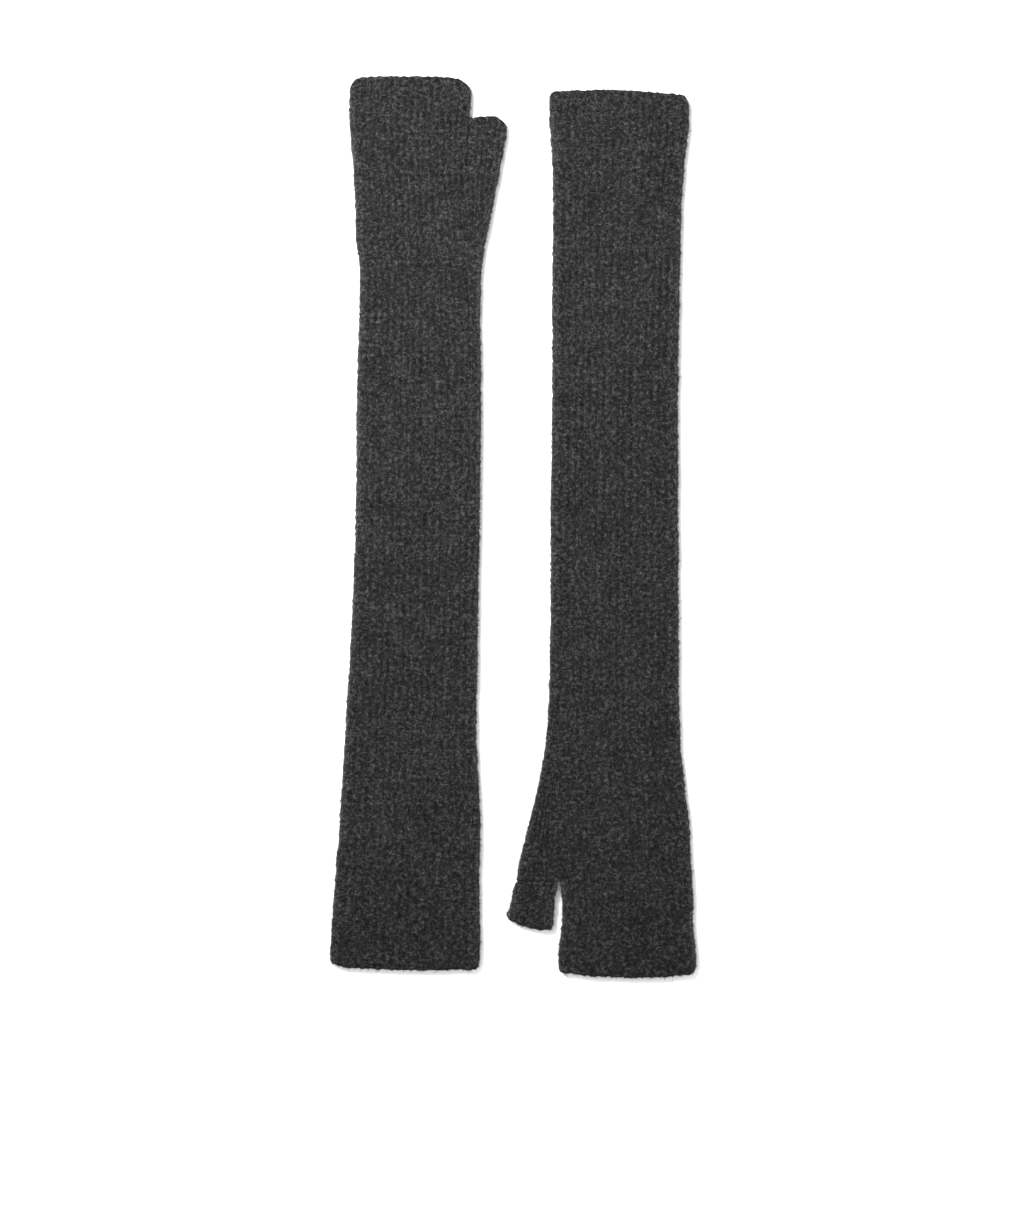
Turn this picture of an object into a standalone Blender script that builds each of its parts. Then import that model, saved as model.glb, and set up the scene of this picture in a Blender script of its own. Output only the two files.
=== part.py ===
"""A pair of long fingerless gloves in ribbed charcoal wool, laid flat side by side.

Each glove is a tube knitted in the round from the elbow to the knuckles, which widens through
a gusset at the wrist and carries a short thumb tube at the crotch between hand and thumb.
There are no side seams and no separate hems. Laid flat, each tube is two layers of cloth that
lie on each other and meet in a rounded fold at each edge. One glove lies with its hand up the
surface, and the other is turned half round beside it.

Lengths are metres and +Z is up. A glove's own frame has its origin at the middle of the elbow
edge, +Y towards the hand and +X towards the thumb. The tables are in millimetres there.
"""

import math
from collections import namedtuple

import bmesh
import bpy
import numpy as np

MM = 0.001

# The cloth
WALL = 2.0 * MM  # one layer, from its plain inside to the valleys of its ribs
SLOT = 0.5 * MM  # the air between the two layers
LAYERS = 2 * WALL + SLOT  # the flattened tube's thickness in the valleys
FOLD_RADIUS = LAYERS / 2
SEAM_GAP = 0.3 * MM  # between the two tubes where the thumb is knitted on
WELD = 0.001 * MM

# The ribs, which run along the glove
RIB_HEIGHT = 0.6 * MM
FULL_RIB_PITCH = 3.0 * MM  # a rib narrower than this is lower too
STEPS_PER_RIB = 3
PANEL_RIBS = 17  # across the top between the two folds, each of which carries two more
GUSSET_RIBS = 6
THUMB_RIBS = 5
GUSSET_LENGTH = 80 * MM

# How closely the sections stand
ARM_SPACING = 27 * MM
GUSSET_SPACING = 14 * MM
HAND_SPACING = 11 * MM

# The open ends
END_REACH = 20 * MM  # how far from an end its curved line bends the sections before it
END_STEPS = (0.5, 0.75, 0.95, 1.0)  # where those sections stand, as shares of that reach
RIM_ROUND = 0.5 * MM

# The finish
CHARCOAL = (0.042, 0.042, 0.043, 1.0)
NAP_ROUGHNESS = 0.95
NAP_SHEEN = 0.3
SHARP_ANGLE = math.radians(50)  # faces that meet more sharply than this keep a crisp edge

# The steps down a fold, from the top of the tube to its foot: two ribs, with a valley between
SLOT_ANGLE = math.degrees(math.asin(SLOT / 2 / FOLD_RADIUS))
FoldStep = namedtuple("FoldStep", "angle rib")
FOLD_STEPS = (
    FoldStep(90, 0),
    FoldStep(62, 1),
    FoldStep(34, 1),
    FoldStep(SLOT_ANGLE, 0),
    FoldStep(-SLOT_ANGLE, 0),
    FoldStep(-34, 1),
    FoldStep(-62, 1),
    FoldStep(-90, 0),
)

Section = namedtuple("Section", "along outer thumb")
ThumbSection = namedtuple("ThumbSection", "along clear outer")
End = namedtuple("End", "peak low_fall high_fall low_across low_along high_across high_along")
Hollow = namedtuple("Hollow", "along across length breadth depth")
Place = namedtuple("Place", "x y turn")
Glove = namedtuple("Glove", "name place arm hand thumb elbow_end hand_end thumb_end hollows")

# An end's line peaks at a share of the width from the low-X edge, falls to each edge, and has
# a rounded corner there. The falls and the corners' sizes are millimetres.
LEFT_GLOVE = Glove(
    name="left_glove",
    place=Place(-54.6 * MM, -248.4 * MM, 0.0),
    arm=(
        Section(0.0, -47.6, 35.8),
        Section(17.0, -46.9, 36.4),
        Section(39.0, -45.4, 35.8),
        Section(84.0, -42.0, 36.4),
        Section(129.0, -39.2, 34.2),
        Section(174.0, -36.4, 34.7),
        Section(218.0, -34.2, 35.4),
        Section(274.0, -32.5, 36.6),
        Section(330.0, -31.9, 37.0),
        Section(375.0, -31.0, 36.4),
        Section(394.5, -30.9, 37.4),
        Section(403.5, -32.4, 38.7),
        Section(420.0, -33.3, 42.0),
        Section(431.0, -33.6, 44.6),
        Section(449.0, -34.4, 48.4),
    ),
    hand=(
        Section(449.0, -34.4, 28.8),
        Section(463.0, -35.7, 29.4),
        Section(476.5, -36.6, 30.2),
        Section(487.0, -36.5, 31.3),
        Section(500.0, -36.2, 31.5),
    ),
    thumb=(
        ThumbSection(0.0, 0.3, 48.4),
        ThumbSection(9.0, 0.3, 49.9),
        ThumbSection(17.0, 0.3, 51.0),
        ThumbSection(22.0, 0.3, 51.6),
        ThumbSection(28.5, 0.3, 51.8),
    ),
    elbow_end=End(0.5, 1.0, 0.2, 10.0, 3.5, 4.0, 3.0),
    hand_end=End(0.4, 0.8, 0.8, 6.0, 4.2, 9.5, 8.0),
    thumb_end=End(0.35, 0.3, 0.5, 1.5, 0.6, 7.0, 5.5),
    hollows=(
        Hollow(480, 0, 12, 9, 0.5),
        Hollow(468, 24, 10, 7, 0.4),
        Hollow(410, -12, 30, 14, 0.3),
        Hollow(300, 8, 40, 18, 0.3),
        Hollow(150, -10, 45, 20, 0.3),
    ),
)
RIGHT_GLOVE = Glove(
    name="right_glove",
    place=Place(57.4 * MM, 243.9 * MM, 180.0),
    arm=(
        Section(0.0, -40.4, 36.3),
        Section(16.0, -41.4, 36.4),
        Section(39.0, -39.2, 34.8),
        Section(61.0, -37.6, 34.3),
        Section(106.0, -36.4, 34.7),
        Section(173.0, -35.3, 34.8),
        Section(240.0, -35.4, 35.7),
        Section(307.0, -35.8, 35.9),
        Section(347.0, -35.9, 37.0),
        Section(369.0, -37.0, 39.8),
        Section(391.5, -39.2, 43.8),
        Section(414.0, -42.0, 48.7),
        Section(430.5, -42.6, 53.0),
        Section(442.5, -43.2, 54.9),
    ),
    hand=(
        Section(442.5, -43.2, 31.1),
        Section(453.0, -43.7, 29.7),
        Section(470.0, -43.8, 29.7),
        Section(481.0, -45.1, 31.2),
        Section(496.5, -45.7, 31.0),
    ),
    thumb=(
        ThumbSection(0.0, 0.3, 54.9),
        ThumbSection(4.5, 1.9, 56.5),
        ThumbSection(10.0, 3.9, 57.7),
        ThumbSection(15.0, 4.5, 59.0),
        ThumbSection(18.0, 4.8, 60.4),
        ThumbSection(27.5, 5.3, 60.6),
    ),
    elbow_end=End(0.67, 3.0, 1.0, 3.5, 4.5, 5.0, 3.0),
    hand_end=End(0.52, 2.0, 1.6, 3.5, 3.4, 3.5, 2.6),
    thumb_end=End(0.15, 0.2, 7.0, 2.2, 2.2, 2.2, 1.6),
    hollows=(
        Hollow(438, 24, 9, 10, 0.5),
        Hollow(425, -22, 14, 10, 0.5),
        Hollow(388, 28, 20, 10, 0.4),
        Hollow(260, -8, 45, 20, 0.3),
        Hollow(110, 10, 40, 18, 0.3),
    ),
)


def smooth_edge(rows, column, at):
    """Where an edge runs at a distance along, on a smooth curve through the table's rows."""
    along = np.array([row.along for row in rows]) * MM
    place = np.array([getattr(row, column) for row in rows]) * MM
    slope = np.gradient(place, along)
    at = min(max(at, along[0]), along[-1])
    i = min(int(np.searchsorted(along, at, side="right")) - 1, len(rows) - 2)
    length = along[i + 1] - along[i]
    t = (at - along[i]) / length
    ease = t * t * (3 - 2 * t)
    bend = t * (1 - t) * ((1 - t) * slope[i] - t * slope[i + 1])
    return float(place[i] + (place[i + 1] - place[i]) * ease + bend * length)


def corner_drop(distance, across, along):
    """How far a rounded corner of this size has fallen at a distance in from the edge."""
    inset = 1 - min(max(distance / (across * MM), 0), 1)
    return along * MM * (1 - math.sqrt(1 - inset * inset))


def end_drop(end, x, low, high):
    """How far an end's line at x has fallen from its peak."""
    peak = low + end.peak * (high - low)
    if x < peak:
        fall = end.low_fall * ((peak - x) / (peak - low)) ** 2
    else:
        fall = end.high_fall * ((x - peak) / (high - peak)) ** 2
    corners = corner_drop(x - low, end.low_across, end.low_along)
    corners += corner_drop(high - x, end.high_across, end.high_along)
    return fall * MM + corners


def spaced(start, stop, spacing):
    """Even steps from start to stop, no wider than the spacing."""
    return list(np.linspace(start, stop, math.ceil((stop - start) / spacing) + 1))


def fold_points(edge, side, rim):
    """A fold's (x, z) from the top of the tube to its foot. Its ribs fade towards the foot."""
    centre = edge - side * FOLD_RADIUS
    points = []
    for step in FOLD_STEPS:
        turn = math.radians(step.angle)
        height = RIB_HEIGHT * step.rib - rim
        radius = FOLD_RADIUS + height * (1 + math.sin(turn)) / 2
        points.append((centre + side * radius * math.cos(turn), FOLD_RADIUS + radius * math.sin(turn)))
    return points


def panel_points(start, stop, ribs, rim):
    """The (x, z) of the top between two lines, with ribs that rise from the valleys at both."""
    pitch = max(stop - start, 0) / ribs
    height = RIB_HEIGHT * min(1, pitch / FULL_RIB_PITCH)
    points = []
    for step in range(ribs * STEPS_PER_RIB + 1):
        phase = step % STEPS_PER_RIB / STEPS_PER_RIB
        x = start + pitch * step / STEPS_PER_RIB
        points.append((x, LAYERS - rim + height * math.sin(math.pi * phase)))
    return points


class Tube:
    """One flattened tube: its two edges, its two ends and the sections between them."""

    def __init__(self, low_edge, high_edge, stations, start_end, stop_end, hollows):
        self.low_edge, self.high_edge = low_edge, high_edge
        self.stations = stations
        self.start_end, self.stop_end = start_end, stop_end
        self.hollows = hollows

    def pull(self, along):
        """The end that bends a section here, how strongly, and towards which side."""
        from_start = 1 - (along - self.stations[0]) / END_REACH
        from_stop = 1 - (self.stations[-1] - along) / END_REACH
        if self.start_end and from_start > 0:
            return self.start_end, from_start, 1
        if self.stop_end and from_stop > 0:
            return self.stop_end, from_stop, -1
        return None, 0, 0

    def edges(self, along):
        """Both edges at a section, read where its bent ends come to lie."""
        end, strength, side = self.pull(along)
        if not end:
            return self.low_edge(along), self.high_edge(along)
        low_drop = (end.low_fall + end.low_along) * MM * strength * side
        high_drop = (end.high_fall + end.high_along) * MM * strength * side
        return self.low_edge(along + low_drop), self.high_edge(along + high_drop)

    def rim(self, along):
        """How far the cloth's surface is drawn in, at the very end of an open tube."""
        end, strength, _ = self.pull(along)
        return RIM_ROUND if end and strength == 1 else 0

    def place(self, along, flat_points):
        """Points of a section, bent to the end's line and sunk into the hollows."""
        end, strength, side = self.pull(along)
        low, high = self.edges(along)
        placed = []
        for x, z in flat_points:
            drop = end_drop(end, x, low, high) * strength * side if end else 0
            placed.append((x, along + drop, z - self.sink(x, along + drop) * z / LAYERS))
        return placed

    def sink(self, x, along):
        """The depth of the soft hollows at a place on the top."""
        depth = 0
        for hollow in self.hollows:
            off_along = (along / MM - hollow.along) / hollow.length
            off_across = (x / MM - hollow.across) / hollow.breadth
            depth += hollow.depth * MM * math.exp(-(off_along**2) - off_across**2)
        return depth

    def flat(self, along, x, z):
        """One point on a level face, bent to the end's line only."""
        end, strength, side = self.pull(along)
        low, high = self.edges(along)
        drop = end_drop(end, x, low, high) * strength * side if end else 0
        return (x, along + drop, z)


def lay_strips(mesh, rows):
    """Faces between neighbouring rows of points."""
    rows = [[mesh.verts.new(point) for point in row] for row in rows]
    for near, far in zip(rows, rows[1:]):
        for i in range(len(near) - 1):
            mesh.faces.new((near[i], near[i + 1], far[i + 1], far[i]))


def fill(mesh, outline):
    """One level face inside an outline."""
    mesh.faces.new([mesh.verts.new(point) for point in outline])


def close_rim(mesh, pairs):
    """The end face of a wall, from pairs of an outer point and the inner point next to it."""
    for (outer, inner), (next_outer, next_inner) in zip(pairs, pairs[1:] + pairs[:1]):
        corners = [outer, next_outer, next_inner]
        if inner != next_inner:
            corners.append(inner)
        fill(mesh, corners)


def valley_places(start, stop, ribs):
    """The x of each valley between two lines, both of them left out."""
    return [start + (stop - start) * i / ribs for i in range(1, ribs)]


def mouth(tube, along, ribs):
    """An open end's points: the sole's, and the slot's below and above, from low to high X."""
    low, high = tube.edges(along)
    valleys = valley_places(low + FOLD_RADIUS, high - FOLD_RADIUS, ribs)
    sole = [low + FOLD_RADIUS] + valleys + [high - FOLD_RADIUS]
    slot = [low + WALL] + valleys + [high - WALL]
    return (
        [tube.flat(along, x, 0) for x in sole],
        [tube.flat(along, x, WALL) for x in slot],
        [tube.flat(along, x, WALL + SLOT) for x in slot],
    )


def rim_pairs(low_fold, panel, high_fold, ends):
    """Each point round an open end, with the point of the slot's mouth that it joins."""
    sole, below, above = ends
    half = len(FOLD_STEPS) // 2
    pairs = [(point, below[0]) for point in low_fold[:half]]
    pairs += [(point, above[0]) for point in low_fold[half:]]
    for step in range(1, len(panel) - 1):
        pairs.append((panel[step], above[round(step / STEPS_PER_RIB)]))
    pairs += [(point, above[-1]) for point in high_fold[:half]]
    pairs += [(point, below[-1]) for point in high_fold[half:]]
    pairs += list(zip(sole[-2:0:-1], below[-2:0:-1]))
    return pairs


def finished_mesh(mesh, name):
    """The welded mesh with its level faces cut into triangles, all facing out."""
    bmesh.ops.remove_doubles(mesh, verts=mesh.verts, dist=WELD)
    bmesh.ops.recalc_face_normals(mesh, faces=mesh.faces)
    bmesh.ops.triangulate(mesh, faces=mesh.faces, ngon_method="EAR_CLIP")
    data = bpy.data.meshes.new(name)
    mesh.to_mesh(data)
    mesh.free()
    return data


def tube_row(tube, along, ribs):
    """A plain section from foot to foot: its low fold, its ribbed panel and its high fold."""
    low, high = tube.edges(along)
    rim = tube.rim(along)
    low_fold = tube.place(along, fold_points(low, -1, rim)[::-1])
    panel = tube.place(along, panel_points(low + FOLD_RADIUS, high - FOLD_RADIUS, ribs, rim))
    high_fold = tube.place(along, fold_points(high, 1, rim))
    return low_fold, panel, high_fold


def slot_side(tube, offset, pick):
    """The slot's two corners along one side of a tube, at each station."""
    rows = []
    for along in tube.stations:
        x = tube.edges(along)[pick] + offset
        rows.append([tube.flat(along, x, WALL), tube.flat(along, x, WALL + SLOT)])
    return rows


def thumb_mesh(glove):
    """The thumb tube, open at both ends, a seam's width from the hand and the trunk."""
    crotch = glove.hand[0].along * MM

    def low_edge(along):
        clear = smooth_edge(glove.thumb, "clear", along - crotch)
        return smooth_edge(glove.hand, "thumb", along) + clear

    def high_edge(along):
        return smooth_edge(glove.thumb, "outer", along - crotch)

    tip = crotch + glove.thumb[-1].along * MM
    stations = [crotch + SEAM_GAP, tip - END_REACH]
    stations += [tip - END_REACH * (1 - step) for step in END_STEPS]
    tube = Tube(low_edge, high_edge, stations, None, glove.thumb_end, glove.hollows)
    rows = [tube_row(tube, along, THUMB_RIBS) for along in stations]
    ends = [mouth(tube, along, THUMB_RIBS) for along in (stations[0], stations[-1])]
    low_slot = slot_side(tube, WALL, 0)
    high_slot = slot_side(tube, -WALL, 1)

    mesh = bmesh.new()
    lay_strips(mesh, [low + panel[1:-1] + high for low, panel, high in rows])
    lay_strips(mesh, low_slot)
    lay_strips(mesh, high_slot)
    low_feet = [low[0] for low, _, _ in rows]
    high_feet = [high[-1] for _, _, high in rows]
    fill(mesh, low_feet + ends[1][0][1:-1] + high_feet[::-1] + ends[0][0][-2:0:-1])
    for level in (0, 1):
        low_line = [row[level] for row in low_slot]
        high_line = [row[level] for row in high_slot]
        start, stop = ends[0][level + 1], ends[1][level + 1]
        fill(mesh, low_line + stop[1:-1] + high_line[::-1] + start[-2:0:-1])
    close_rim(mesh, rim_pairs(*rows[0], ends[0]))
    close_rim(mesh, rim_pairs(*rows[-1], ends[1]))
    return finished_mesh(mesh, glove.name + "_thumb")


def arm_tube(glove):
    """The trunk of a glove, from its elbow edge to the crotch."""
    crotch = glove.arm[-1].along * MM
    stations = [END_REACH * (1 - step) for step in END_STEPS[::-1]]
    stations += spaced(END_REACH, crotch - GUSSET_LENGTH, ARM_SPACING)
    stations += spaced(crotch - GUSSET_LENGTH, crotch, GUSSET_SPACING)[1:]
    return Tube(
        lambda along: smooth_edge(glove.arm, "outer", along),
        lambda along: smooth_edge(glove.arm, "thumb", along),
        stations,
        glove.elbow_end,
        None,
        glove.hollows,
    )


def hand_tube(glove):
    """The hand of a glove, from the crotch to its open end at the knuckles."""
    crotch, tip = glove.hand[0].along * MM, glove.hand[-1].along * MM
    stations = spaced(crotch, tip - END_REACH, HAND_SPACING)
    stations += [tip - END_REACH * (1 - step) for step in END_STEPS]
    return Tube(
        lambda along: smooth_edge(glove.hand, "outer", along),
        lambda along: smooth_edge(glove.hand, "thumb", along),
        stations,
        None,
        glove.hand_end,
        glove.hollows,
    )


def arm_row(arm, along, hand_edge):
    """A section of the trunk: low fold, the hand's panel, the gusset's panel and high fold.

    The gusset opens from nothing at the wrist to its full width at the crotch, where the
    hand's panel ends at the start of the hand's own fold.
    """
    low, high = arm.edges(along)
    rim = arm.rim(along)
    wrist = arm.stations[-1] - GUSSET_LENGTH
    split = high - FOLD_RADIUS
    if along > wrist:
        opened = (along - wrist) / GUSSET_LENGTH
        split = arm.high_edge(wrist) * (1 - opened) + hand_edge * opened - FOLD_RADIUS
    low_fold = arm.place(along, fold_points(low, -1, rim)[::-1])
    panel = arm.place(along, panel_points(low + FOLD_RADIUS, split, PANEL_RIBS, rim))
    gusset = arm.place(along, panel_points(split, high - FOLD_RADIUS, GUSSET_RIBS, rim))
    high_fold = arm.place(along, fold_points(high, 1, rim))
    return low_fold, panel, gusset, high_fold


def glove_mesh(glove):
    """The arm and hand in one: a trunk that ends half open at the crotch, and the hand on it."""
    arm, hand = arm_tube(glove), hand_tube(glove)
    crotch = arm.stations[-1]
    hand_edge = hand.edges(crotch)[1]
    arm_rows = [arm_row(arm, along, hand_edge) for along in arm.stations]
    hand_rows = [tube_row(hand, along, PANEL_RIBS) for along in hand.stations]
    elbow_mouth = mouth(arm, arm.stations[0], PANEL_RIBS)
    hand_mouth = mouth(hand, hand.stations[-1], PANEL_RIBS)

    mesh = bmesh.new()
    shared = [low + panel[1:] for low, panel, _, _ in arm_rows]
    shared += [low + panel[1:] for low, panel, _ in hand_rows[1:]]
    lay_strips(mesh, shared)
    lay_strips(mesh, [gusset + high[1:] for _, _, gusset, high in arm_rows])
    lay_strips(mesh, [high for _, _, high in hand_rows])

    low_feet = [row[0][0] for row in arm_rows + hand_rows[1:]]
    hand_feet = [row[2][-1] for row in hand_rows]
    arm_feet = [row[3][-1] for row in arm_rows]
    sole = low_feet + hand_mouth[0][1:-1] + hand_feet[::-1]
    fill(mesh, sole + arm_feet[::-1] + elbow_mouth[0][-2:0:-1])

    half = len(FOLD_STEPS) // 2
    fold = hand_rows[0][2]
    low_slot = slot_side(arm, WALL, 0) + slot_side(hand, WALL, 0)[1:]
    hand_slot = [[fold[half], fold[half - 1]]] + slot_side(hand, -WALL, 1)
    arm_slot = slot_side(arm, -WALL, 1)
    for side in (low_slot, hand_slot, arm_slot):
        lay_strips(mesh, side)
    for level in (0, 1):
        low_line, hand_line, arm_line = (
            [row[level] for row in side] for side in (low_slot, hand_slot, arm_slot)
        )
        outline = low_line + hand_mouth[level + 1][1:-1] + hand_line[::-1]
        fill(mesh, outline + arm_line[::-1] + elbow_mouth[level + 1][-2:0:-1])

    _, _, gusset, high_fold = arm_rows[-1]
    thumb_hole = gusset + high_fold[1:] + fold[:half - 1:-1] + arm_slot[-1] + fold[half - 1:0:-1]
    fill(mesh, thumb_hole)
    low_fold, panel, _, high_fold = arm_rows[0]
    close_rim(mesh, rim_pairs(low_fold, panel, high_fold, elbow_mouth))
    close_rim(mesh, rim_pairs(*hand_rows[-1], hand_mouth))
    return finished_mesh(mesh, glove.name + "_tube")


def wool_material(name):
    """Charcoal melange wool: dark, matt and faintly lit by its nap."""
    material = bpy.data.materials.new(name)
    material.use_nodes = True
    shader = material.node_tree.nodes["Principled BSDF"]
    shader.inputs["Base Color"].default_value = CHARCOAL
    shader.inputs["Roughness"].default_value = NAP_ROUGHNESS
    shader.inputs["Metallic"].default_value = 0.0
    shader.inputs["Sheen Weight"].default_value = NAP_SHEEN
    return material


def add_piece(data, parent, collection):
    """A mesh as an object of its own, with its own wool, in its glove's frame."""
    data.shade_smooth()
    data.set_sharp_from_angle(angle=SHARP_ANGLE)
    data.materials.append(wool_material(data.name + "_wool"))
    piece = bpy.data.objects.new(data.name, data)
    piece.parent = parent
    collection.objects.link(piece)
    return piece


def add_glove(glove, collection):
    """One glove's tube and thumb, placed and turned on the surface."""
    frame = bpy.data.objects.new(glove.name + "_place", None)
    frame.location = (glove.place.x, glove.place.y, 0)
    frame.rotation_euler.z = math.radians(glove.place.turn)
    collection.objects.link(frame)
    pieces = [add_piece(make(glove), frame, collection) for make in (glove_mesh, thumb_mesh)]
    return frame, pieces


def centre_on_origin(gloves):
    """Moves the gloves together so that the pair's box has its middle on the Z axis."""
    bpy.context.view_layer.update()
    corners = []
    for _, pieces in gloves:
        for piece in pieces:
            corners += [piece.matrix_world @ vertex.co for vertex in piece.data.vertices]
    corners = np.array(corners)
    middle = (corners.min(axis=0) + corners.max(axis=0)) / 2
    for frame, _ in gloves:
        frame.location.x -= middle[0]
        frame.location.y -= middle[1]


def main():
    for old in list(bpy.data.objects):
        bpy.data.objects.remove(old)
    collection = bpy.data.collections.new("pair_of_gloves")
    bpy.context.scene.collection.children.link(collection)
    gloves = [add_glove(glove, collection) for glove in (LEFT_GLOVE, RIGHT_GLOVE)]
    centre_on_origin(gloves)


main()
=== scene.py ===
# %% [markdown]
# # A pair of long fingerless gloves, laid flat
#
# The real gloves are knitted in the round from charcoal melange wool, in a fine rib, and then
# brushed so that a short nap hides the stitches. Each one is a tube from the elbow to the
# knuckles with a short open thumb. This lesson dresses plain solids of the pair: it lays a
# finely ribbed and stitched shell over each tube, covers it with a nap of loose fibres, and
# lights it like a picture in a shop's catalogue.
#
# The solids come first, because everything else is placed by them.

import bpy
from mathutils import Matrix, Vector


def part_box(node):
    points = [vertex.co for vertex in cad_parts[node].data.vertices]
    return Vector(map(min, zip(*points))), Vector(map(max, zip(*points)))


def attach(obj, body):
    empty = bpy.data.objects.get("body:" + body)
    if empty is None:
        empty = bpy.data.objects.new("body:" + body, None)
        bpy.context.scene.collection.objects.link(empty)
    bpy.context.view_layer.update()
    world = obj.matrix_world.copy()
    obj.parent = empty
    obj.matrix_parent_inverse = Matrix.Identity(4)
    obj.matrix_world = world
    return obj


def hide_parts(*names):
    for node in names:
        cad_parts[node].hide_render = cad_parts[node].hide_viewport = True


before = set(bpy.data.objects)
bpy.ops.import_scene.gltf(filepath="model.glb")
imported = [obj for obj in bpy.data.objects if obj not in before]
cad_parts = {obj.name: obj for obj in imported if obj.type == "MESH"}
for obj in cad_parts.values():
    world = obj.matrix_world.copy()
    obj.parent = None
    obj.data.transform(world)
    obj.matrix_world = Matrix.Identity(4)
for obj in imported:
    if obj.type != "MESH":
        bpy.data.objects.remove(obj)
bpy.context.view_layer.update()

# %% Units and libraries
import math
from collections import namedtuple

import bmesh
import bpy
import numpy as np
from mathutils import Matrix, Vector

MM = 0.001
SENSOR_SIDE = 36  # the long side of a full-frame picture, in millimetres

# %% [markdown]
# ## Camera
#
# A garment shown flat is photographed from straight above with a long lens, so that its edges
# stay parallel. A camera without rotation looks down -Z with +Y up the picture, which is all
# that is needed. Its height follows from how much of the surface the picture takes in: a lens
# of focal length f on a 36 mm side sees a stretch of 36 / f times its distance.

# %% Camera
VIEW_HEIGHT = 690 * MM  # of the surface, along the picture's long side
VIEW_CENTRE = (-0.6 * MM, -49.8 * MM)  # the pair lies above the middle of the picture
LENS = 100  # millimetres


def add_object(name, data):
    """A new object in the scene."""
    thing = bpy.data.objects.new(name, data)
    bpy.context.scene.collection.objects.link(thing)
    return thing


camera = add_object("camera", bpy.data.cameras.new("camera"))
camera.data.lens = LENS
camera.data.sensor_width = SENSOR_SIDE
camera.location = (*VIEW_CENTRE, VIEW_HEIGHT * LENS / SENSOR_SIDE)
bpy.context.scene.camera = camera
print(f"The camera hangs {camera.location.z:.3f} m above the surface")

# %% [markdown]
# ## The outline
#
# A flattened glove is described by where its two edges run, section by section. The tables
# are in millimetres in the glove's own frame: the origin is the middle of the elbow edge, +Y
# runs to the hand and +X to the thumb. Only a dozen sections are stated, and a smooth curve
# through them gives every one between, because a knitted edge has no corners.

# %% Tables of the two gloves
Section = namedtuple("Section", "along outer thumb")
ThumbSection = namedtuple("ThumbSection", "along clear outer")
End = namedtuple("End", "peak low_fall high_fall low_across low_along high_across high_along")
Hollow = namedtuple("Hollow", "along across length breadth depth turn")
Glove = namedtuple(
    "Glove", "name turned arm hand thumb elbow_end hand_end thumb_end seam tucked hollows"
)


def table(kind, *rows):
    """Rows of numbers as tuples with names."""
    return [kind(*row) for row in rows]


# An end's line peaks at a share of the width from the low-X edge, falls to each edge, and has
# a rounded corner there. The seam round the thumb's foot is as deep as stated. A tucked thumb
# is pressed against the hand. A hollow's length lies along the glove, turned by some degrees.
LEFT_GLOVE = Glove(
    name="left_glove",
    turned=False,
    arm=table(
        Section,
        (0.0, -47.6, 35.8), (17.0, -46.9, 36.4), (39.0, -45.4, 35.8), (84.0, -42.0, 36.4),
        (129.0, -39.2, 34.2), (174.0, -36.4, 34.7), (218.0, -34.2, 35.4), (274.0, -32.8, 36.4),
        (330.0, -32.2, 36.8), (375.0, -31.0, 36.4), (394.5, -30.9, 37.4), (403.5, -32.4, 38.7),
        (420.0, -33.3, 42.0), (431.0, -33.6, 44.2), (449.0, -34.4, 47.9),
    ),
    hand=table(
        Section,
        (449.0, -34.4, 28.8), (463.0, -35.7, 29.4), (476.5, -36.6, 30.2), (487.0, -36.5, 31.3),
        (500.0, -36.2, 31.5),
    ),
    thumb=table(
        ThumbSection,
        (0.0, 0.3, 47.9), (9.0, 0.3, 49.6), (17.0, 0.3, 51.0), (22.0, 0.3, 51.6),
        (28.5, 0.3, 51.8),
    ),
    elbow_end=End(0.62, 2.2, 0.2, 10.0, 3.5, 4.0, 3.0),
    hand_end=End(0.4, 0.8, 1.3, 7.5, 7.0, 12.5, 9.0),
    thumb_end=End(0.5, 1.2, 0.7, 1.5, 0.6, 8.5, 6.2),
    seam=0.15,
    tucked=True,
    hollows=table(
        Hollow,
        (480, 0, 12, 9, 0.5, 0), (468, 24, 10, 7, 0.4, 0), (410, -12, 30, 14, 0.3, 0),
        (300, 8, 40, 18, 0.3, 0), (150, -10, 45, 20, 0.3, 0),
    ),
)
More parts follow.
